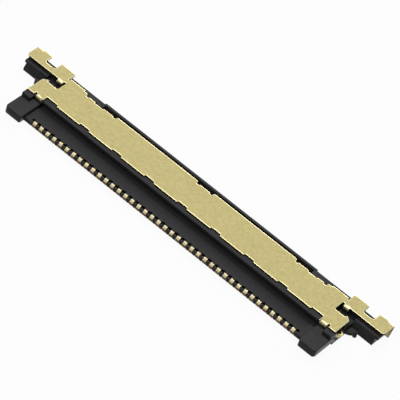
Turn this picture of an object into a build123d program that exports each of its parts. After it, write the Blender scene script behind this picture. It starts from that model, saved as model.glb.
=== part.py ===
from build123d import *
import os

# A right-angle board connector with one row of contacts, in millimetres.
# X runs along the row, +Y points to the back and Z stands up from the board.
# The origin is on the board, under the middle of the part's outline.
# Depths are measured forwards from the back of the ear legs.

# Contact row
contact_count = 40
contact_pitch = 0.5
contact_width = 0.26
contact_stock = 0.1
contact_bend = 0.06  # outside radius of a contact's bends
contact_clearance = 0.02  # each side of a contact in its channel
pad_length = 0.15  # level part of the tip on the lip
pad_rise = 0.05  # pad above the trough floor
nose_length = 0.14  # sloping part of the tip, front to back
nose_slope = 0.13  # drop of that part
beam_cover = 0.1  # moulding over the buried beam
riser_inset = 0.62  # from the rear wall to the riser behind the beam
tail_setback = 0.03  # tail end in front of the part's back

# Lengths along the row, outwards from the last contact
trough_margin = 0.74
horn_width = 1.19
arm_reach = 1.58
ear_overhang = 0.28

# Depths
wall_setback = 0.11  # rear wall
wall_step = 0.18  # the wall's step forward near the ends
plate_setback = 0.49  # plate's back edge, from the rear wall
plate_depth = 2.25
rim_width = 0.28  # upper jaw in front of the plate
lip_reach = 1.39  # lower jaw in front of the upper jaw
horn_reach = 0.4  # horns in front of the lip

# Heights
standoff = 0.22  # free height under the lip, horns and arms
lip_height = 0.28
mouth_height = 0.29
jaw_height = 0.16
horn_height = 0.5
arm_height = 0.6

# Moulding details
mouth_depth = 0.67  # behind the rim
rear_wall_length = 16.1  # the rear wall's thicker middle
gallery_height = 0.36  # cut under the rear wall, over the tails
gallery_depth = 0.3
horn_corner = 0.2
horn_inner_corner = 0.1
horn_edge = 0.05
rim_edge = 0.05
wall_edge = 0.14
groove_setback = 0.25  # groove for the legs, from the rear wall
groove_inset = 0.1  # its ends, from the ends of the thicker middle
guard_length = 0.62  # raised guard in front of a plate end, along the row
guard_depth = 0.4
arm_depth = 1.23
arm_lip_reach = 0.16  # lip along the top of the arm's end
arm_lip_height = 0.2
arm_slope_depth = 0.22  # slope along the arm's front
arm_slope_height = 0.4
post_radius = 0.13
post_offset = 0.45  # post's middle outside the body's end
post_stand = 0.05  # post's middle in front of the arm
web_length = 0.55  # along the arm
web_depth = 0.57  # along the body
web_knuckle_length = 0.42
web_knuckle_depth = 0.34
web_sagitta = 0.04

# Shell
shell_stock = 0.1
bend_radius = 0.05  # inside radius of each bend
fit_clearance = 0.03  # round each leg and flange in its pocket
plate_end_inset = 0.06  # plate's end, from the body's end
plate_end_length = 1.11
plate_end_depth = 1.34
plate_nose = 0.28  # plate ends in front of the plate's front edge
plate_end_corner = 0.12
end_edge_length = 1.1  # stretch beside each neck that reaches further back
end_edge_overrun = 0.06  # of that stretch, past the neck
end_edge_step = 0.1
notch_count = 7
notch_pitch = 5 * contact_pitch
notch_length = 0.68
notch_depth = 0.13
notch_corner = 0.06
end_notch_length = 0.82
end_notch_inset = 0.06  # from the neck
flange_length = 0.49
flange_drop = 0.25
flange_radius = 0.08  # inside radius of a flange's soft bend
flange_lean = 0.03  # foot of a flange in front of its bend
relief_width = 0.13  # slit beside the front flange
relief_depth = 0.15  # straight part of the slit
centre_leg_width = 0.8
inner_leg_width = 0.77
outer_leg_width = 0.5
inner_leg_start = 7.04  # from the middle of the row
leg_gap = 0.63
leg_step = 0.06  # leg face in front of the plate's back edge
leg_drop = 0.5
recess_margin = 0.2  # recess beside the legs
recess_depth = 0.16  # recess in front of the legs' faces
recess_corner = 0.08
recess_mouth = 0.1  # rounding of its ends at the plate's back edge
ear_front = 1.06
ear_strip_depth = 0.4
ear_tab_length = 1.07
ear_notch_length = 0.77
ear_notch_corner = 0.18
ear_corner = 0.14
ear_leg_width = 0.45
ear_leg_taper = 0.08  # narrowing of the leg towards its foot
ear_flange_length = 0.41
ear_flange_inset = 0.16  # from the neck
ear_flange_reach = 0.12  # its face, in front of the ear
ear_flange_drop = 0.22
slot_drop = 0.41  # floor under the ear's flange and the hook, from the shell's top
ear_tab_corner = 0.08
hook_length = 0.2
hook_inset = 0.16  # from the plate's end
hook_reach = 0.2  # behind the plate end
hook_drop = 0.3
seat_overlap = 0.05  # root of a bent leg inside the flat sheet
pick_reach = 0.01  # for picking corners and edges by their place

# Hold-downs, one in each end of the body
hold_stock = 0.1
hold_height = 0.65
hold_length = 0.96
hold_setback = 0.52  # its middle behind the front of the plate's ends
hold_inset = 0.12  # its outer face, from the body's end
hold_slack = 0.02  # behind it in its slot
flare_reach = 0.37  # pointed lead-in at the strip's top
flare_half = 0.33
flare_foot = 0.27  # its lower end, above the board
flare_foot_reach = 0.15  # the same at its lower end
flare_foot_half = 0.22
flare_wall = 0.13
flare_room = 0.04  # round the flare in its window

# Places along the row
row_half = (contact_count - 1) * contact_pitch / 2
trough_half = row_half + trough_margin
body_half = trough_half + horn_width
arm_half = body_half + arm_reach
ear_half = arm_half + ear_overhang
plate_half = body_half - plate_end_inset
neck_half = plate_half - plate_end_length
post_middle = body_half + post_offset

# Places in depth
wall_back = wall_setback
wall_back_end = wall_back + wall_step
arm_front = wall_back_end + arm_depth
plate_back = wall_back + plate_setback
plate_front = plate_back + plate_depth
nose_front = plate_front + plate_nose
rim_front = plate_front + rim_width
lip_front = rim_front + lip_reach
part_depth = lip_front + horn_reach
slot_front = nose_front - plate_end_depth
leg_face = plate_back + leg_step
recess_front = leg_face + recess_depth
riser_face = wall_back + riser_inset
pad_front = lip_front - nose_length
pad_back = pad_front - pad_length
hold_middle = nose_front - hold_setback
ear_flange_face = ear_front + ear_flange_reach

# Places in height
floor_top = standoff + lip_height
mouth_top = floor_top + mouth_height
housing_top = mouth_top + jaw_height
shell_top = housing_top + shell_stock
horn_top = standoff + horn_height
arm_top = standoff + arm_height
arm_slope_foot = arm_top - arm_slope_height
beam_top = floor_top - beam_cover
pad_top = floor_top + pad_rise
nose_top = pad_top - nose_slope

# Stretches along the row
bend_room = bend_radius + shell_stock
flange_bend = flange_radius + shell_stock
end_notch_end = neck_half - end_notch_inset
end_notch = (end_notch_end - end_notch_length, end_notch_end)
flange_span = (neck_half, neck_half + flange_length)
relief_span = (flange_span[1], flange_span[1] + relief_width)
inner_leg_end = inner_leg_start + inner_leg_width
outer_leg_start = inner_leg_end + leg_gap
centre_leg = (0, centre_leg_width / 2)
inner_leg = (inner_leg_start, inner_leg_end)
outer_leg = (outer_leg_start, outer_leg_start + outer_leg_width)
centre_recess = (0, centre_leg[1] + recess_margin)
side_recess = (inner_leg_start - recess_margin, outer_leg[1] + recess_margin)
ear_leg = (ear_half - ear_leg_width, ear_half)
outer_tab = (ear_half - ear_tab_length, ear_half)
inner_tab_end = outer_tab[0] - ear_notch_length
inner_tab = (inner_tab_end - ear_tab_length, inner_tab_end)
ear_flange_start = neck_half + ear_flange_inset
ear_flange = (ear_flange_start, ear_flange_start + ear_flange_length)
ear_relief = (neck_half, ear_flange_start)
hook_end = plate_half - hook_inset
hook = (hook_end - hook_length, hook_end)
hold_face = body_half - hold_inset
hold_strip = (hold_face - hold_stock, hold_face)


def forward(depth):
    """Y of a place that lies this far in front of the part's back."""
    return part_depth / 2 - depth


def patch(x_range, depth_range, mode=Mode.ADD):
    """Rectangle of a sketch between two places along the row and two depths."""
    middle = (sum(x_range) / 2, forward(sum(depth_range) / 2))
    with Locations(middle):
        Rectangle(x_range[1] - x_range[0], depth_range[1] - depth_range[0], mode=mode)


def corners_at(sketch, depth):
    """Corners of a sketch that lie at a depth."""
    line = forward(depth)
    return sketch.vertices().filter_by_position(Axis.Y, line - pick_reach, line + pick_reach)


def block(x_range, depth_range, z_range, mode=Mode.ADD):
    """Rectangular piece of the moulding, or a cut in it."""
    with BuildSketch(Plane.XY.offset(z_range[0])) as outline:
        patch(x_range, depth_range)
    extrude(outline.sketch, amount=z_range[1] - z_range[0], mode=mode)


def bent_leg(x_range, root_depth, face_depth, drop):
    """Sheet that runs level from its root, then bends down with its outer face at face_depth."""
    root = forward(root_depth)
    face = forward(face_depth)
    inner = face + shell_stock if root > face else face - shell_stock
    bottom = shell_top - drop
    with BuildSketch(Plane.YZ.offset(x_range[0])) as profile:
        with BuildLine():
            Polyline(
                (root, shell_top),
                (face, shell_top),
                (face, bottom),
                (inner, bottom),
                (inner, housing_top),
                (root, housing_top),
                close=True,
            )
        make_face()
        fillet(profile.vertices().sort_by_distance((face, shell_top))[0], bend_room)
        fillet(profile.vertices().sort_by_distance((inner, housing_top))[0], bend_radius)
    extrude(profile.sketch, amount=x_range[1] - x_range[0])


def soft_flange(x_range, root_depth, bend_depth, drop):
    """Sheet that runs level to a soft bend, then leans forwards as it drops."""
    bend = (forward(bend_depth), shell_top)
    with BuildSketch(Plane.YZ.offset(x_range[0])) as profile:
        with BuildLine() as outer_face:
            foot = (forward(bend_depth + flange_lean), shell_top - drop)
            Polyline((forward(root_depth), shell_top), bend, foot)
            fillet(outer_face.vertices().sort_by_distance(bend)[0], flange_bend)
            offset(amount=shell_stock, side=Side.LEFT)
        make_face()
    extrude(profile.sketch, amount=x_range[1] - x_range[0])


def round_end(x_range, depth, mode=Mode.SUBTRACT):
    """Round end of a slit in a sketch."""
    with Locations((sum(x_range) / 2, forward(depth))):
        Circle((x_range[1] - x_range[0]) / 2, mode=mode)


def contact_strip(width, bend=0):
    """Stamped contact on the part's middle plane: tail, riser, beam, pad and nose."""
    nose_back = lip_front - contact_stock
    nose_inside = pad_top - contact_stock - nose_slope * (nose_length - contact_stock) / nose_length
    with BuildSketch(Plane.YZ.offset(-width / 2)) as profile:
        with BuildLine():
            Polyline(
                (forward(tail_setback), 0),
                (forward(tail_setback), contact_stock),
                (forward(riser_face), contact_stock),
                (forward(riser_face), beam_top),
                (forward(pad_back), beam_top),
                (forward(pad_back), pad_top),
                (forward(pad_front), pad_top),
                (forward(lip_front), nose_top),
                (forward(lip_front), standoff),
                (forward(nose_back), standoff),
                (forward(nose_back), nose_inside),
                (forward(pad_front), pad_top - contact_stock),
                (forward(pad_back + contact_stock), pad_top - contact_stock),
                (forward(pad_back + contact_stock), beam_top - contact_stock),
                (forward(riser_face + contact_stock), beam_top - contact_stock),
                (forward(riser_face + contact_stock), 0),
                close=True,
            )
        make_face()
        if bend:
            for depth, height in ((pad_back, pad_top), (lip_front, nose_top)):
                corner = profile.vertices().sort_by_distance((forward(depth), height))[0]
                fillet(corner, bend)
    extrude(profile.sketch, amount=width)


# One contact, and the channel that holds it, open above the contact's nose
with BuildPart() as contact_blank:
    contact_strip(contact_width, contact_bend)

channel_half = contact_width / 2 + contact_clearance
with BuildPart() as channel:
    contact_strip(2 * channel_half)
    block((-channel_half, channel_half), (pad_front, lip_front), (nose_top, pad_top))


# Housing: one moulding, drawn as its right half and mirrored
with BuildPart() as housing:
    block((0, body_half), (wall_back_end, rim_front), (0, housing_top))
    block((0, rear_wall_length / 2), (wall_back, wall_back_end), (0, housing_top))
    rear_edge = housing.edges().filter_by(Axis.X).group_by(Axis.Y)[-1].sort_by(Axis.Z)[-1]
    fillet(rear_edge, wall_edge)
    front_edge = housing.edges().filter_by(Axis.X).group_by(Axis.Y)[0].sort_by(Axis.Z)[-1]
    fillet(front_edge, rim_edge)

    # Mouth for the mating board, the lower jaw in front of it and the gallery over the tails
    block((0, trough_half), (rim_front - mouth_depth, rim_front), (floor_top, mouth_top), Mode.SUBTRACT)
    block((0, trough_half), (rim_front, lip_front), (standoff, floor_top))
    block((0, trough_half), (wall_back, wall_back + gallery_depth), (0, gallery_height), Mode.SUBTRACT)

    # Guide horn with its rounded nose, and the guard behind it
    block((trough_half, body_half), (rim_front, part_depth), (standoff, horn_top))
    horn_corners = housing.edges().filter_by(Axis.Z).group_by(Axis.Y)[0].sort_by(Axis.X)
    fillet(horn_corners[0], horn_inner_corner)
    fillet(horn_corners[-1], horn_corner)
    fillet(housing.faces().sort_by(Axis.Y)[0].edges().sort_by(Axis.Z)[-1], horn_edge)
    guard = (body_half - guard_length, body_half)
    block(guard, (rim_front, rim_front + guard_depth), (horn_top, housing_top))

    # Arm under the ear, sloping down along its front
    block((body_half - seat_overlap, arm_half), (wall_back_end, arm_front), (standoff, arm_top))
    with BuildSketch(Plane.YZ.offset(body_half)):
        with BuildLine():
            Polyline(
                (forward(arm_front), arm_slope_foot),
                (forward(arm_front), arm_top),
                (forward(arm_front - arm_slope_depth), arm_top),
                close=True,
            )
        make_face()
    extrude(amount=arm_reach, mode=Mode.SUBTRACT)
    lip_span = (arm_half, arm_half + arm_lip_reach)
    block(lip_span, (wall_back_end, arm_front - arm_slope_depth), (arm_top - arm_lip_height, arm_top))

    # Concave web in the corner of body and arm, and the round post that stands on the board
    with BuildSketch(Plane.XY.offset(standoff)):
        with BuildLine():
            corner = (body_half, forward(arm_front))
            web_end = (body_half + web_length, forward(arm_front))
            web_root = (body_half, forward(arm_front + web_depth))
            knuckle = (body_half + web_knuckle_length, forward(arm_front + web_knuckle_depth))
            Polyline(web_root, corner, web_end, knuckle)
            SagittaArc(knuckle, web_root, web_sagitta)
        make_face()
    extrude(amount=arm_slope_foot - standoff)
    with BuildSketch(Plane.XY):
        with Locations((post_middle, forward(arm_front + post_stand))):
            Circle(post_radius)
    extrude(amount=arm_slope_foot)

    # Room for the shell's flanges and legs
    leg_pocket = (leg_face - fit_clearance, leg_face + bend_room + fit_clearance)
    leg_floor = shell_top - leg_drop - fit_clearance
    groove_end = rear_wall_length / 2 - groove_inset
    groove = (wall_back + groove_setback, leg_pocket[1])
    block((0, groove_end), groove, (leg_floor, housing_top), Mode.SUBTRACT)
    for start, end in (centre_leg, inner_leg, outer_leg):
        leg_room = (start - fit_clearance, end + fit_clearance)
        block(leg_room, leg_pocket, (leg_floor, housing_top), Mode.SUBTRACT)
    flange_pocket = (nose_front - flange_bend - fit_clearance, rim_front)
    flange_floor = shell_top - flange_drop - fit_clearance
    flange_room = (flange_span[0] - fit_clearance, flange_span[1] + fit_clearance)
    block(flange_room, flange_pocket, (flange_floor, housing_top), Mode.SUBTRACT)
    ear_pocket = (ear_flange_face - flange_bend - fit_clearance, slot_front)
    ear_floor = shell_top - slot_drop
    block((neck_half, body_half), ear_pocket, (ear_floor, housing_top), Mode.SUBTRACT)

    # Slot for the hold-down, with a window in the body's end for its flare
    hold_depths = (hold_middle - hold_length / 2, hold_middle + hold_length / 2)
    window = (hold_middle - flare_half - flare_room, hold_middle + flare_half + flare_room)
    block((hold_strip[0] - hold_slack, hold_face), hold_depths, (0, housing_top), Mode.SUBTRACT)
    block((hold_face, body_half), window, (flare_foot - flare_room, housing_top), Mode.SUBTRACT)

    mirror(about=Plane.YZ)
    with GridLocations(contact_pitch, 0, contact_count, 1):
        add(channel.part, mode=Mode.SUBTRACT)


# Shell: one stamped sheet, drawn as its right half and mirrored
with BuildPart() as shell:
    with BuildSketch(Plane.XY.offset(housing_top)) as sheet:
        patch((0, neck_half), (plate_back, plate_front))
        end_edge = (neck_half - end_edge_length, neck_half + end_edge_overrun)
        patch(end_edge, (plate_back - end_edge_step, ear_front))
        patch((end_notch[1], plate_half), (slot_front, nose_front))
        patch((neck_half - end_edge_length, ear_half), (ear_front - ear_strip_depth, ear_front))
        patch(inner_tab, (0, ear_front))
        patch((outer_tab[0], ear_leg[0]), (0, ear_front))
        patch(ear_leg, (bend_room, ear_front))
        notch_floor = forward(ear_front - ear_strip_depth)
        notch_corners = corners_at(sheet, ear_front - ear_strip_depth)
        fillet(notch_corners.sort_by_distance((inner_tab[1], notch_floor))[0], ear_notch_corner)
        fillet(sheet.vertices().sort_by_distance((outer_tab[0], notch_floor))[0], ear_notch_corner)
        chamfer(sheet.vertices().sort_by_distance((ear_half, forward(ear_front)))[0], ear_corner)
        for corner in ((inner_tab[0], forward(0)), (inner_tab[1], forward(0)), (outer_tab[0], forward(0))):
            fillet(sheet.vertices().sort_by_distance(corner)[0], ear_tab_corner)
        for corner in ((plate_half, forward(slot_front)), (neck_half, forward(slot_front))):
            fillet(sheet.vertices().sort_by_distance(corner)[0], plate_end_corner)

        # Recesses round the legs, and the notches left by the carrier strip
        patch(centre_recess, (plate_back, recess_front), Mode.SUBTRACT)
        patch(side_recess, (plate_back, recess_front), Mode.SUBTRACT)
        fillet(corners_at(sheet, recess_front).sort_by(Axis.X)[1:], recess_corner)
        for corner in (centre_recess[1], side_recess[0], side_recess[1]):
            fillet(sheet.vertices().sort_by_distance((corner, forward(plate_back)))[0], recess_mouth)
        patch(end_notch, (plate_front - notch_depth, plate_front), Mode.SUBTRACT)

        # Bend zones of the two flanges that point forwards, and the slit beside the outer one
        patch(flange_span, (nose_front - flange_bend, nose_front), Mode.SUBTRACT)
        relief_end = nose_front - relief_depth
        patch(relief_span, (relief_end, nose_front), Mode.SUBTRACT)
        round_end(relief_span, relief_end)
        patch(ear_flange, (ear_flange_face - flange_bend, ear_front), Mode.SUBTRACT)
        round_end(ear_relief, ear_front)
    extrude(amount=shell_stock)

    for span in (centre_leg, inner_leg, outer_leg):
        bent_leg(span, recess_front + seat_overlap, leg_face, leg_drop)
    bent_leg(ear_leg, bend_room + seat_overlap, 0, shell_top)
    soft_flange(flange_span, nose_front - flange_bend - seat_overlap, nose_front, flange_drop)
    soft_flange(ear_flange, ear_flange_face - flange_bend - seat_overlap, ear_flange_face, ear_flange_drop)
    bent_leg(hook, slot_front + seat_overlap, slot_front - hook_reach, hook_drop)

    # Taper of the ear's leg towards its foot
    with BuildSketch(Plane.XZ.offset(-forward(0))):
        with BuildLine():
            Polyline((ear_half, housing_top), (ear_half, 0), (ear_half - ear_leg_taper, 0), close=True)
        make_face()
    extrude(amount=bend_room, mode=Mode.SUBTRACT)

    mirror(about=Plane.YZ)
    with BuildSketch(Plane.XY.offset(housing_top)):
        with Locations((0, forward(plate_front - notch_depth / 2))):
            with GridLocations(notch_pitch, 0, notch_count, 1):
                Rectangle(notch_length, notch_depth)
    extrude(amount=shell_stock, mode=Mode.SUBTRACT)
    notch_edges = shell.edges().filter_by(Axis.Z).filter_by_position(Axis.X, -end_notch_end, end_notch_end)
    for depth in (plate_front - notch_depth, plate_front):
        line = forward(depth)
        fillet(notch_edges.filter_by_position(Axis.Y, line - pick_reach, line + pick_reach), notch_corner)


# Hold-down: a strip that stands in the body's end, with a pointed lead-in pressed out of it
hold_line = forward(hold_middle)
lead_in_sections = ((flare_foot, flare_foot_reach, flare_foot_half), (hold_height, flare_reach, flare_half))
with BuildPart() as right_hold_down:
    block(hold_strip, hold_depths, (0, hold_height))
    for height, reach, half in lead_in_sections:
        with BuildSketch(Plane.XY.offset(height)):
            with BuildLine():
                Polyline(
                    (hold_face, hold_line - half),
                    (hold_face + reach, hold_line),
                    (hold_face, hold_line + half),
                    close=True,
                )
            make_face()
    loft()
    for height, reach, half in lead_in_sections:
        with BuildSketch(Plane.XY.offset(height)):
            with BuildLine():
                Polyline(
                    (hold_strip[0], hold_line - half + flare_wall),
                    (hold_face + reach - flare_wall, hold_line),
                    (hold_strip[0], hold_line + half - flare_wall),
                    close=True,
                )
            make_face()
    loft(mode=Mode.SUBTRACT)

with BuildPart() as left_hold_down:
    mirror(right_hold_down.part, about=Plane.YZ)


os.makedirs("parts", exist_ok=True)
housing.part.label = "housing"
export_step(housing.part, "parts/housing.step")
shell.part.label = "shell"
export_step(shell.part, "parts/shell.step")
left_hold_down.part.label = "left_hold_down"
export_step(left_hold_down.part, "parts/left_hold_down.step")
right_hold_down.part.label = "right_hold_down"
export_step(right_hold_down.part, "parts/right_hold_down.step")
for index in range(contact_count):
    with BuildPart() as contact:
        with Locations((index * contact_pitch - row_half, 0, 0)):
            add(contact_blank.part)
    contact.part.label = f"contact_{index + 1:02d}"
    export_step(contact.part, f"parts/contact_{index + 1:02d}.step")
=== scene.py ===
"""Finish of the right-angle board connector: black moulding, gold-plated shell, hold-downs and contacts."""

import itertools
import logging
import math
from dataclasses import dataclass, field
from enum import Enum

import bmesh
import bpy
from mathutils import Matrix, Vector


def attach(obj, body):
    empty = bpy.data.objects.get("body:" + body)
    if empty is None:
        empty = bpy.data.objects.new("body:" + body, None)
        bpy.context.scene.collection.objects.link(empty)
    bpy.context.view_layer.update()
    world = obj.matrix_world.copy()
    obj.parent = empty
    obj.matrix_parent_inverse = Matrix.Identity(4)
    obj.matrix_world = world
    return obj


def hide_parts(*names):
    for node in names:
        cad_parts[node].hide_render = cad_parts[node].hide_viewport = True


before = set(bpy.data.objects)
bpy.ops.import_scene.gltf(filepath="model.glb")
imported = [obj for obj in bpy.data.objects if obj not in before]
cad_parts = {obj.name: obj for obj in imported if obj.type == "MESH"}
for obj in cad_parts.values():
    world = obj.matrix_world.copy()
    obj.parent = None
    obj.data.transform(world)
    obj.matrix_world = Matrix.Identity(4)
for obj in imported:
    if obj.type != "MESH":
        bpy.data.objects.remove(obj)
MM = 0.001
ROOT_BODY = "root"
WHITE = (1.0, 1.0, 1.0, 1.0)
NEARLY_LEVEL = 0.99
SPLIT_REACH_MM = 0.0001
ALONG_ROW = Vector((1.0, 0.0, 0.0))
TOWARDS_BACK = Vector((0.0, 1.0, 0.0))
LOG = logging.getLogger("board_connector")

Colour = tuple[float, float, float, float]


class Slot(Enum):
    """Material slots of the record."""

    HOUSING = "housing"
    SHELL = "shell"
    HOLD_DOWN = "hold_down"
    CONTACT = "contact"


class Surface(Enum):
    """Material places of a dressed piece."""

    FLAT = 0
    # painted highlight: paler metal on a sheet's rolled outline and bends
    PAINTED_HIGHLIGHT = 1
    # painted shade: dark metal on a sheet's sheared sides, which are also unplated, and on a contact's
    # front, under and side faces
    PAINTED_SHADE_SIDE = 2
    # painted shade: near-black metal on a contact behind its pad
    PAINTED_SHADE_REAR = 3


class Wire:
    """One shader socket, with the operators that shader maths needs."""

    def __init__(self, bench: "ShaderBench", socket: bpy.types.NodeSocket) -> None:
        """Keeps the socket and the bench that adds nodes to its tree."""
        self.bench = bench
        self.socket = socket

    def _math(self, operation: str, first: "Wire | float", second: "Wire | float") -> "Wire":
        """Adds one Math node.

        Args:
            operation: The node's operation.
            first: Its first value.
            second: Its second value.

        Returns:
            The node's result.
        """
        return self.bench.node("ShaderNodeMath", {"operation": operation}, {0: first, 1: second})

    def __add__(self, other: "Wire | float") -> "Wire":
        """Sum."""
        return self._math("ADD", self, other)

    __radd__ = __add__

    def __sub__(self, other: "Wire | float") -> "Wire":
        """Difference."""
        return self._math("SUBTRACT", self, other)

    def __rsub__(self, other: "Wire | float") -> "Wire":
        """Difference from a number."""
        return self._math("SUBTRACT", other, self)

    def __mul__(self, other: "Wire | float") -> "Wire":
        """Product."""
        return self._math("MULTIPLY", self, other)

    __rmul__ = __mul__

    def clamped(self, low: float, high: float) -> "Wire":
        """The value held between two limits."""
        return self._math("MINIMUM", self._math("MAXIMUM", self, low), high)


Settings = dict[str, str]
Inputs = dict[int | str, Wire | tuple[float, ...] | float]


@dataclass
class ShaderBench:
    """Adds nodes to one material's or world's tree."""

    tree: bpy.types.NodeTree

    def node(self, kind: str, settings: Settings, inputs: Inputs, output: int | str = 0) -> Wire:
        """Adds a node, sets it and joins it up.

        Args:
            kind: The node's type.
            settings: Properties of the node, set first.
            inputs: Values, or wires to link, by socket name or number.
            output: The socket to return.

        Returns:
            The chosen output.
        """
        made = self.tree.nodes.new(kind)
        for name, value in settings.items():
            setattr(made, name, value)
        self.join(made, inputs)
        return Wire(self, made.outputs[output])

    def join(self, made: bpy.types.Node, inputs: Inputs) -> None:
        """Sets or links sockets of a node.

        Args:
            made: The node.
            inputs: Values, or wires to link, by socket name or number.
        """
        for name, value in inputs.items():
            if isinstance(value, Wire):
                self.tree.links.new(value.socket, made.inputs[name])
            else:
                made.inputs[name].default_value = value

    def mix(self, factor: Wire | float, first: Wire | Colour, second: Wire | Colour) -> Wire:
        """Mixes two colours.

        Args:
            factor: Share of the second.
            first: First colour.
            second: Second colour.

        Returns:
            The mixed colour.
        """
        inputs = {0: factor, 6: first, 7: second}
        return self.node("ShaderNodeMix", {"data_type": "RGBA"}, inputs, output=2)

    def noise(self, place: Wire, grain_mm: float, detail: float = 2.0) -> Wire:
        """Noise whose blotches have a size in millimetres.

        Args:
            place: Coordinates in metres.
            grain_mm: Size of a blotch.
            detail: Octaves.

        Returns:
            A value from 0 to 1.
        """
        inputs = {"Vector": place, "Scale": 1.0 / (grain_mm * MM), "Detail": detail}
        return self.node("ShaderNodeTexNoise", {}, inputs, output="Fac")

    def bump(self, height: Wire, depth_mm: float, strength: float) -> Wire:
        """Normal of a surface with small relief.

        Args:
            height: Relief from 0 to 1.
            depth_mm: Depth of the whole relief.
            strength: Share of it that shows.

        Returns:
            The normal.
        """
        inputs = {"Strength": strength, "Distance": depth_mm * MM, "Height": height}
        return self.node("ShaderNodeBump", {}, inputs, output="Normal")


def rgb(red: float, green: float, blue: float) -> Colour:
    """An opaque colour."""
    return (red, green, blue, 1.0)


def principled(name: str) -> tuple[bpy.types.Material, ShaderBench, bpy.types.Node]:
    """Starts a material on a Principled shader.

    Args:
        name: The material's name.

    Returns:
        The material, its bench and the shader node.
    """
    material = bpy.data.materials.new(name)
    material.use_nodes = True
    tree = material.node_tree
    return material, ShaderBench(tree), tree.nodes["Principled BSDF"]


@dataclass(frozen=True)
class MouldedBlack:
    """Black glass-filled moulding with the faint texture of a spark-eroded cavity."""

    name: str = "moulded_black"
    base: Colour = rgb(0.022, 0.022, 0.024)
    pale: Colour = rgb(0.044, 0.044, 0.047)
    roughness: float = 0.7
    gloss: float = 0.18
    texture_mm: float = 0.05
    flow_mm: float = 0.6
    texture_share: float = 0.6
    flow_share: float = 0.7
    pale_start: float = 0.2
    flow_roughness: float = 0.12
    texture_roughness: float = 0.06
    relief_mm: float = 0.004
    relief_strength: float = 0.35
    sheen_start: float = 0.45
    sheen_width: float = 0.2
    sheen_gain: float = 2.6
    sheen_roughness: float = 0.25

    def make(self) -> bpy.types.Material:
        """Builds the material.

        Returns:
            The material.
        """
        material, bench, shader = principled(self.name)
        place = bench.node("ShaderNodeTexCoord", {}, {}, output="Object")
        texture = bench.noise(place, self.texture_mm, detail=3.0)
        flow = bench.noise(place, self.flow_mm, detail=4.0)
        blend = (texture * self.texture_share + flow * self.flow_share - self.pale_start).clamped(0.0, 1.0)
        facing = bench.node("ShaderNodeLayerWeight", {}, {"Blend": 0.5}, output="Facing")
        bench.join(shader, {
            "Base Color": bench.mix(blend, self.base, self.pale),
            "Roughness": self.roughness + flow * self.flow_roughness - texture * self.texture_roughness,
            "Normal": bench.bump(texture, self.relief_mm, self.relief_strength),
            "Specular IOR Level": self.gloss,
            "Coat Weight": (facing - self.sheen_start).clamped(0.0, self.sheen_width) * self.sheen_gain,
            "Coat Roughness": self.sheen_roughness,
        })
        return material


@dataclass(frozen=True)
class PlatedMetal:
    """Thin gold plate over rolled sheet, with a faint grain along the strip."""

    name: str
    base: Colour
    shade: Colour
    roughness: float = 0.34
    mottle_mm: float = 0.22
    mottle_share: float = 0.9
    mottle_roughness: float = 0.1
    cloud_mm: float = 1.98
    cloud_share: float = 0.5
    shade_start: float = 0.2
    grain_mm: float = 0.03
    grain_stretch: float = 14.0
    relief_mm: float = 0.0012
    relief_strength: float = 0.5

    def make(self) -> bpy.types.Material:
        """Builds the material.

        Returns:
            The material.
        """
        material, bench, shader = principled(self.name)
        place = bench.node("ShaderNodeTexCoord", {}, {}, output="Object")
        along = (1.0 / self.grain_stretch, 1.0, 1.0)
        rolled = bench.node("ShaderNodeMapping", {}, {"Vector": place, "Scale": along}, output="Vector")
        grain = bench.noise(rolled, self.grain_mm, detail=3.0)
        mottle = bench.noise(place, self.mottle_mm, detail=5.0)
        cloud = bench.noise(place, self.cloud_mm, detail=3.0)
        blend = (mottle * self.mottle_share + cloud * self.cloud_share - self.shade_start).clamped(0.0, 1.0)
        bench.join(shader, {
            "Base Color": bench.mix(blend, self.base, self.shade),
            "Metallic": 1.0,
            "Roughness": self.roughness + (mottle - 0.5) * self.mottle_roughness,
            "Normal": bench.bump(grain, self.relief_mm, self.relief_strength),
        })
        return material


@dataclass(frozen=True)
class PaleGround:
    """Plain pale ground that keeps a soft shadow and looks white behind the object."""

    name: str = "pale_ground"
    base: Colour = rgb(0.55, 0.55, 0.55)
    white_share: float = 0.95

    def make(self) -> bpy.types.Material:
        """Builds the material.

        Returns:
            The material.
        """
        material = bpy.data.materials.new(self.name)
        material.use_nodes = True
        material.node_tree.nodes.clear()
        bench = ShaderBench(material.node_tree)
        seen = bench.node("ShaderNodeLightPath", {}, {}, output="Is Camera Ray")
        mirrored = bench.node("ShaderNodeLightPath", {}, {}, output="Is Glossy Ray")
        through = bench.node("ShaderNodeLightPath", {}, {}, output="Is Transmission Ray")
        share = (seen + mirrored + through).clamped(0.0, 1.0) * self.white_share
        matt = bench.node("ShaderNodeBsdfDiffuse", {}, {"Color": self.base})
        white = bench.node("ShaderNodeEmission", {}, {"Color": WHITE, "Strength": 1.0})
        mixed = bench.node("ShaderNodeMixShader", {}, {0: share, 1: matt, 2: white})
        out = material.node_tree.nodes.new("ShaderNodeOutputMaterial")
        bench.join(out, {"Surface": mixed})
        return material


@dataclass(frozen=True)
class StudioDome:
    """Soft surrounding light, dim in front and overhead and bright low behind."""

    name: str = "studio_dome"
    horizon: float = 0.09
    rise: float = 0.1
    behind: float = 1.0

    def make(self) -> bpy.types.World:
        """Builds the world.

        Returns:
            The world.
        """
        world = bpy.data.worlds.new(self.name)
        world.use_nodes = True
        bench = ShaderBench(world.node_tree)
        towards = bench.node("ShaderNodeTexCoord", {}, {}, output="Generated")
        height = bench.node("ShaderNodeSeparateXYZ", {}, {"Vector": towards}, output="Z")
        back = bench.node("ShaderNodeSeparateXYZ", {}, {"Vector": towards}, output="Y")
        risen = height.clamped(0.0, 1.0)
        level = self.horizon + risen * self.rise + back.clamped(0.0, 1.0) * (1.0 - risen) * self.behind
        bench.join(world.node_tree.nodes["Background"], {"Color": WHITE, "Strength": level})
        return world


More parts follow.
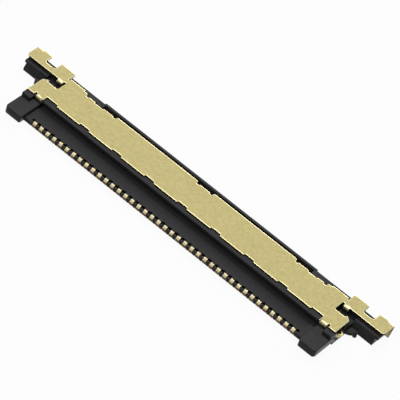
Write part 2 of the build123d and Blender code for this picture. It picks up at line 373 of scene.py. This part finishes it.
@dataclass
class DressedNode:
    """A CAD node's own shape with its edges broken, standing for that node."""

    node: str
    piece: str
    slot: Slot
    materials: list[bpy.types.Material]
    edge_mm: float
    segments: int = 2
    sharp_deg: float = 50.0
    weld_mm: float = 0.004
    sliver_mm: float = 0.001
    flat_deg: float = 1.0
    smooth_deg: float = 26.0

    def build(self) -> bpy.types.Object:
        """Copies the node's mesh, breaks its sharp edges and puts the piece in its place.

        Returns:
            The finished piece.
        """
        shape = bmesh.new()
        shape.from_mesh(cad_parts[self.node].data)
        bmesh.ops.scale(shape, vec=Vector((1.0, 1.0, 1.0)) / MM, verts=shape.verts)
        bmesh.ops.remove_doubles(shape, verts=shape.verts, dist=self.weld_mm)
        self.mend(shape)
        bmesh.ops.dissolve_degenerate(shape, dist=self.sliver_mm, edges=shape.edges)
        flat = math.radians(self.flat_deg)
        bmesh.ops.dissolve_limit(shape, angle_limit=flat, verts=shape.verts, edges=shape.edges)
        low, high = self.box(shape)
        self.shape_up(shape)
        self.break_edges(shape)
        for corner in shape.verts:
            corner.co = Vector(min(max(c, a), b) for c, a, b in zip(corner.co, low, high))
        bmesh.ops.scale(shape, vec=Vector((MM, MM, MM)), verts=shape.verts)
        return self.finish(shape)

    def mend(self, shape: bmesh.types.BMesh) -> None:
        """Mends the copied triangles before flat ones are joined."""

    def shape_up(self, shape: bmesh.types.BMesh) -> None:
        """Adds the piece's own detail before its edges are broken."""

    def break_edges(self, shape: bmesh.types.BMesh) -> None:
        """Bevels the convex sharp edges of the shape.

        Args:
            shape: The mesh, in millimetres.
        """
        limit = math.radians(self.sharp_deg)
        paired = [edge for edge in shape.edges if len(edge.link_faces) == 2]
        sharp = [edge for edge in paired if edge.calc_face_angle_signed(0.0) > limit]
        bmesh.ops.bevel(
            shape, geom=sharp, affect="EDGES", offset=self.edge_mm, offset_type="OFFSET",
            segments=self.segments, profile=0.5, material=-1, clamp_overlap=False,
            loop_slide=True, miter_outer="SHARP", miter_inner="SHARP",
        )

    @staticmethod
    def box(shape: bmesh.types.BMesh) -> tuple[Vector, Vector]:
        """Lowest and highest corner of a shape.

        Args:
            shape: The mesh.

        Returns:
            The two corners.
        """
        places = [corner.co for corner in shape.verts]
        low = Vector(min(place[axis] for place in places) for axis in range(3))
        high = Vector(max(place[axis] for place in places) for axis in range(3))
        return low, high

    def finish(self, shape: bmesh.types.BMesh) -> bpy.types.Object:
        """Makes an object of the mesh and ties it to the frame.

        Args:
            shape: The mesh, in metres.

        Returns:
            The piece.
        """
        mesh = bpy.data.meshes.new(self.piece)
        shape.to_mesh(mesh)
        shape.free()
        for material in self.materials:
            mesh.materials.append(material)
        mesh.shade_smooth()
        mesh.set_sharp_from_angle(angle=math.radians(self.smooth_deg))
        piece = bpy.data.objects.new(self.piece, mesh)
        bpy.context.scene.collection.objects.link(piece)
        evened = piece.modifiers.new("even_normals", "WEIGHTED_NORMAL")
        evened.keep_sharp = True
        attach(piece, ROOT_BODY)
        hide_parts(self.node)
        LOG.info("piece %s: %d faces", self.piece, len(mesh.polygons))
        return piece


@dataclass
class DressedMoulding(DressedNode):
    """The moulding, with the small square pockets that stand between the contacts."""

    pocket_count: int = 41
    pocket_pitch_mm: float = 0.5
    pocket_length_mm: float = 0.15
    pocket_depths_mm: tuple[float, float] = (-1.89, -1.71)
    pocket_drop_mm: float = 0.2
    floor_mm: float = 0.5
    floor_reach_mm: float = 0.01

    def shape_up(self, shape: bmesh.types.BMesh) -> None:
        """Sinks the pockets into the floor in front of the mouth.

        Args:
            shape: The mesh, in millimetres.
        """
        first = -(self.pocket_count - 1) * self.pocket_pitch_mm / 2
        middles = [first + number * self.pocket_pitch_mm for number in range(self.pocket_count)]
        half = self.pocket_length_mm / 2
        for depth in self.pocket_depths_mm:
            self.score(shape, TOWARDS_BACK * depth, TOWARDS_BACK)
        for middle in middles:
            for edge in (middle - half, middle + half):
                self.score(shape, ALONG_ROW * edge, ALONG_ROW)
        low, high = self.pocket_depths_mm
        squares = []
        for face in self.floor_faces(shape):
            place = face.calc_center_median()
            off = min(abs(place.x - middle) for middle in middles)
            if off < half and low < place.y < high:
                squares.append(face)
        sunk = bmesh.ops.extrude_discrete_faces(shape, faces=squares)["faces"]
        corners = list(dict.fromkeys(corner for face in sunk for corner in face.verts))
        bmesh.ops.translate(shape, vec=Vector((0.0, 0.0, -self.pocket_drop_mm)), verts=corners)

    def floor_faces(self, shape: bmesh.types.BMesh) -> list[bmesh.types.BMFace]:
        """Faces of the floor.

        Args:
            shape: The mesh, in millimetres.

        Returns:
            The faces.
        """
        low, high = self.floor_mm - self.floor_reach_mm, self.floor_mm + self.floor_reach_mm
        level = [face for face in shape.faces if face.normal.z > NEARLY_LEVEL]
        return [face for face in level if low < face.calc_center_median().z < high]

    def score(self, shape: bmesh.types.BMesh, place: Vector, normal: Vector) -> None:
        """Divides the floor along a plane.

        Args:
            shape: The mesh, in millimetres.
            place: A point of the plane.
            normal: The plane's normal.
        """
        faces = self.floor_faces(shape)
        edges = dict.fromkeys(edge for face in faces for edge in face.edges)
        corners = dict.fromkeys(corner for face in faces for corner in face.verts)
        floor = [*faces, *edges, *corners]
        bmesh.ops.bisect_plane(shape, geom=floor, dist=SPLIT_REACH_MM, plane_co=place, plane_no=normal)


@dataclass(frozen=True)
class Needle:
    """A place where the copied sheet has corners a few thousandths of a millimetre apart."""

    across_mm: float
    back_mm: float
    reach_mm: float
    heights_mm: tuple[float, float]
    root_mm: tuple[float, float]


@dataclass(frozen=True)
class Stray:
    """A stretch where the inset leaves a corner that belongs elsewhere."""

    across_mm: tuple[float, float]
    back_mm: tuple[float, float]
    home_mm: tuple[float, float]


@dataclass
class DressedSheet(DressedNode):
    """A stamped sheet: the outline of its outer face is rolled over, the outline and the bends are painted
    paler as a painted highlight, and its sheared sides are painted near black, partly as unplated metal and
    partly as painted shade.
    """

    roll_drop_mm: float = 0.015
    smooth_deg: float = 15.0
    top_mm: float = 1.05
    level_z: float = 0.999
    # bends whose faces get the painted highlight
    bent_z: tuple[float, float] = (0.2, 0.97)
    strays: tuple[Stray, ...] = (
        Stray((10.3, 10.6), (-9.0, -0.69), (10.55, -0.517)),
        Stray((10.486, 10.494), (-0.64, -0.62), (10.478, -0.63)),
        Stray((10.466, 10.474), (-0.64, -0.62), (10.484, -0.63)),
    )
    needles: tuple[Needle, ...] = (
        Needle(10.67, 1.42, 0.025, (0.9495, 0.9505), (10.67, 1.4371)),
        Needle(10.67, 1.42, 0.025, (1.0495, 1.0505), (10.67, 1.4371)),
        Needle(11.08, 1.412, 0.016, (1.04, 1.0505), (11.08, 1.4)),
        Needle(11.0, -0.517, 0.008, (1.049, 1.0505), (11.0, -0.52)),
    )

    def mend(self, shape: bmesh.types.BMesh) -> None:
        """Closes the needles of sheet at each ear's flange and each plate end's corner.

        Args:
            shape: The mesh, in millimetres.
        """
        for side, needle in itertools.product((-1.0, 1.0), self.needles):
            place = Vector((side * needle.across_mm, needle.back_mm))
            low, high = needle.heights_mm
            band = [corner for corner in shape.verts if low < corner.co.z < high]
            near = [corner for corner in band if (corner.co.xy - place).length < needle.reach_mm]
            if len(near) > 1:
                top = max(corner.co.z for corner in near)
                across, back = needle.root_mm
                bmesh.ops.pointmerge(shape, verts=near, merge_co=Vector((side * across, back, top)))

    def bring_home(self, corner: bmesh.types.BMVert) -> None:
        """Brings a corner back that the inset threw across the slit beside a front flange.

        Args:
            corner: The corner.
        """
        out, back = abs(corner.co.x), corner.co.y
        for stray in self.strays:
            (near, far), (low, high) = stray.across_mm, stray.back_mm
            if near < out < far and low < back < high:
                corner.co.xy = (math.copysign(stray.home_mm[0], corner.co.x), stray.home_mm[1])

    def outer_face(self, shape: bmesh.types.BMesh) -> set[bmesh.types.BMFace]:
        """The sheet's level top with the bends that hang from it.

        Args:
            shape: The mesh, in millimetres.

        Returns:
            The faces.
        """
        limit = math.radians(self.sharp_deg)
        level = [face for face in shape.faces if face.normal.z > NEARLY_LEVEL]
        found = {max(level, key=lambda face: face.calc_area())}
        waiting = list(found)
        while waiting:
            face = waiting.pop()
            for edge in face.edges:
                if edge.calc_face_angle(0.0) < limit:
                    fresh = set(edge.link_faces) - found
                    found |= fresh
                    waiting.extend(fresh)
        return found

    def break_edges(self, shape: bmesh.types.BMesh) -> None:
        """Rolls over the outline of the outer face, gives it and the bends a painted highlight, and gives
        the sheared sides painted shade.

        Args:
            shape: The mesh, in millimetres.
        """
        outer = self.outer_face(shape)
        low, high = self.bent_z
        bent = {face for face in outer if low < face.normal.z < high}
        level = [face for face in outer if face.normal.z > self.level_z]
        beside = {other for face in outer for edge in face.edges for other in edge.link_faces} - outer
        # painted shade: the sheet's sheared sides are unplated and are painted near black as well
        for face in beside:
            face.material_index = Surface.PAINTED_SHADE_SIDE.value
        rolled = bmesh.ops.inset_region(
            shape, faces=list(outer), thickness=self.edge_mm, use_boundary=True, use_even_offset=True,
        )["faces"]
        kept = {corner for face in outer for corner in face.verts}
        for corner in {corner for face in level for corner in face.verts}:
            corner.co.z = self.top_mm
            self.bring_home(corner)
        for corner in {corner for face in rolled for corner in face.verts} - kept:
            upward = sum((face.normal for face in corner.link_faces if face in rolled), Vector())
            corner.co -= upward.normalized() * self.roll_drop_mm
        # painted highlight: the rolled outline and the bends get the paler metal
        for face in bent.union(rolled):
            face.material_index = Surface.PAINTED_HIGHLIGHT.value


@dataclass
class DressedContact(DressedNode):
    """A stamped contact: its pad is paler gold as a painted highlight, and its other faces carry painted
    shade.
    """

    # front and back ends of the pad along y; the pad gets the painted highlight
    pad_highlight_mm: tuple[float, float] = (-2.12, -1.9)
    upward_z: float = 0.3

    def shape_up(self, shape: bmesh.types.BMesh) -> None:
        """Divides the contact at the ends of its pad and marks where the painted highlight and the painted
        shade go.

        Args:
            shape: The mesh, in millimetres.
        """
        for depth in self.pad_highlight_mm:
            everything = [*shape.faces, *shape.edges, *shape.verts]
            bmesh.ops.bisect_plane(
                shape, geom=everything, dist=SPLIT_REACH_MM,
                plane_co=TOWARDS_BACK * depth, plane_no=TOWARDS_BACK,
            )
        low, high = self.pad_highlight_mm
        for face in shape.faces:
            back = face.calc_center_median().y
            # painted shade: behind the pad, under the upper jaw, the contact is near black
            if back > high:
                surface = Surface.PAINTED_SHADE_REAR
            # painted shade: the contact's front and the faces that don't look up get dark brown
            elif back <= low or face.normal.z < self.upward_z:
                surface = Surface.PAINTED_SHADE_SIDE
            # painted highlight: the pad's upward faces get the paler gold
            else:
                surface = Surface.FLAT
            face.material_index = surface.value


@dataclass
class Connector:
    """The whole connector: moulding, shell, hold-downs and the row of contacts."""

    contact_count: int = 40
    moulding_edge_mm: float = 0.02
    shell_edge_mm: float = 0.04
    strip_edge_mm: float = 0.02
    sheet: PlatedMetal = PlatedMetal("plated_sheet", rgb(0.455, 0.4, 0.194), rgb(0.405, 0.36, 0.171), 0.7)
    # painted highlight: paler, glossier gold on the shell's rolled outline and bends
    edge_highlight: PlatedMetal = PlatedMetal("painted_edge_highlight", rgb(0.92, 0.84, 0.5), rgb(0.86, 0.76, 0.42), 0.4)
    strip: PlatedMetal = PlatedMetal("plated_strip", rgb(0.62, 0.53, 0.27), rgb(0.55, 0.46, 0.22), 0.55)
    # painted shade: near-black metal for the shell's sheared sides, darker than the unplated alloy
    sheared_side_shade: PlatedMetal = PlatedMetal("shell_side_painted_shade", rgb(0.06, 0.045, 0.02), rgb(0.03, 0.022, 0.01), 0.6)
    # painted highlight: gold plating, paler than the shell's, for the contacts' pads
    bright: PlatedMetal = PlatedMetal("plated_contact", rgb(0.72, 0.64, 0.42), rgb(0.66, 0.57, 0.35), 0.5)
    # painted shade: dark brown for the contacts' front, under and side faces
    contact_side_shade: PlatedMetal = PlatedMetal("contact_painted_shade", rgb(0.18, 0.112, 0.044), rgb(0.12, 0.07, 0.026), 0.5)
    # painted shade: near black for the contacts behind their pads
    contact_rear_shade: PlatedMetal = PlatedMetal(
        "contact_rear_painted_shade", rgb(0.07, 0.052, 0.03), rgb(0.04, 0.03, 0.017), 0.6,
    )
    pieces: list[bpy.types.Object] = field(default_factory=list)

    def dress_moulding(self) -> None:
        """Dresses the housing."""
        black = MouldedBlack().make()
        piece = DressedMoulding("housing", "moulding", Slot.HOUSING, [black], self.moulding_edge_mm)
        self.pieces.append(piece.build())

    def dress_sheet_metal(self) -> None:
        """Dresses the shell and the two hold-downs."""
        metals = [self.sheet.make(), self.edge_highlight.make(), self.sheared_side_shade.make()]
        strip = self.strip.make()
        shell = DressedSheet("shell", "plated_shell", Slot.SHELL, metals, self.shell_edge_mm)
        self.pieces.append(shell.build())
        for side in ("left", "right"):
            node = f"{side}_hold_down"
            hold_down = DressedNode(node, f"plated_{node}", Slot.HOLD_DOWN, [strip], self.strip_edge_mm)
            self.pieces.append(hold_down.build())

    def dress_contacts(self) -> None:
        """Dresses each contact of the row."""
        plated = self.bright.make()
        metals = [plated, plated, self.contact_side_shade.make(), self.contact_rear_shade.make()]
        for number in range(1, self.contact_count + 1):
            node = f"contact_{number:02d}"
            contact = DressedContact(node, f"plated_{node}", Slot.CONTACT, metals, self.strip_edge_mm)
            self.pieces.append(contact.build())


@dataclass(frozen=True)
class Softbox:
    """A square lamp that faces the connector."""

    name: str
    azimuth_deg: float
    elevation_deg: float
    side_m: float
    glow: float
    reach_m: float = 0.5

    def hang(self) -> None:
        """Hangs the lamp."""
        data = bpy.data.lights.new(self.name, "AREA")
        data.shape = "SQUARE"
        data.size = self.side_m
        data.energy = self.glow * math.pi * self.side_m**2
        lamp = bpy.data.objects.new(self.name, data)
        bpy.context.scene.collection.objects.link(lamp)
        away = direction(self.azimuth_deg, self.elevation_deg)
        lamp.location = away * self.reach_m
        lamp.rotation_mode = "QUATERNION"
        lamp.rotation_quaternion = away.to_track_quat("Z", "Y")


@dataclass
class Studio:
    """Pale ground, soft light and the camera at the photograph's viewing angle."""

    ground_half_m: float = 1.5
    lens_mm: float = 279.0
    sensor_mm: float = 36.0
    clip_m: tuple[float, float] = (0.01, 10.0)
    target_mm: tuple[float, float, float] = (0.393, 0.791, 1.05)
    distance_mm: float = 175.23
    azimuth_deg: float = 25.82
    elevation_deg: float = 44.83
    roll_deg: float = 19.48
    softboxes: tuple[Softbox, ...] = (
        Softbox("key_softbox", 206.0, 60.0, 0.16, 20.0),
        Softbox("top_softbox", -58.0, 62.0, 0.3, 1.7),
        Softbox("front_softbox", -24.0, 38.0, 0.25, 1.0),
        Softbox("back_softbox", 198.0, 10.0, 0.22, 3.0),
    )

    def lay_ground(self) -> None:
        """Lays the ground under the connector."""
        shape = bmesh.new()
        bmesh.ops.create_grid(shape, x_segments=1, y_segments=1, size=self.ground_half_m)
        mesh = bpy.data.meshes.new("ground")
        shape.to_mesh(mesh)
        shape.free()
        mesh.materials.append(PaleGround().make())
        ground = bpy.data.objects.new("ground", mesh)
        bpy.context.scene.collection.objects.link(ground)

    def place_camera(self) -> None:
        """Places the camera, rolled as in the photograph."""
        data = bpy.data.cameras.new("camera")
        data.lens = self.lens_mm
        data.sensor_width = self.sensor_mm
        data.sensor_fit = "HORIZONTAL"
        data.clip_start, data.clip_end = self.clip_m
        camera = bpy.data.objects.new("camera", data)
        bpy.context.scene.collection.objects.link(camera)
        back = direction(self.azimuth_deg, self.elevation_deg)
        upright = back.to_track_quat("Z", "Y").to_matrix()
        turned = upright @ Matrix.Rotation(math.radians(self.roll_deg), 3, "Z")
        place = (Vector(self.target_mm) + back * self.distance_mm) * MM
        camera.matrix_world = Matrix.Translation(place) @ turned.to_4x4()
        bpy.context.scene.camera = camera

    def build(self) -> None:
        """Builds the whole studio."""
        self.lay_ground()
        bpy.context.scene.world = StudioDome().make()
        for softbox in self.softboxes:
            softbox.hang()
        self.place_camera()
        bpy.context.scene.view_settings.view_transform = "Standard"


def direction(azimuth: float, elevation: float) -> Vector:
    """Unit vector towards a place round the connector.

    Args:
        azimuth: Degrees round from the front, towards +X.
        elevation: Degrees above the ground.

    Returns:
        The vector.
    """
    turn, rise = math.radians(azimuth), math.radians(elevation)
    level = math.cos(rise)
    return Vector((math.sin(turn) * level, -math.cos(turn) * level, math.sin(rise)))


def main() -> None:
    """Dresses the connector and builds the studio."""
    logging.basicConfig(level=logging.INFO, format="%(name)s: %(message)s")
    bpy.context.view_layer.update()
    connector = Connector()
    connector.dress_moulding()
    connector.dress_sheet_metal()
    connector.dress_contacts()
    Studio().build()
    LOG.info("%d pieces dressed", len(connector.pieces))


if __name__ == "__main__":
    main()
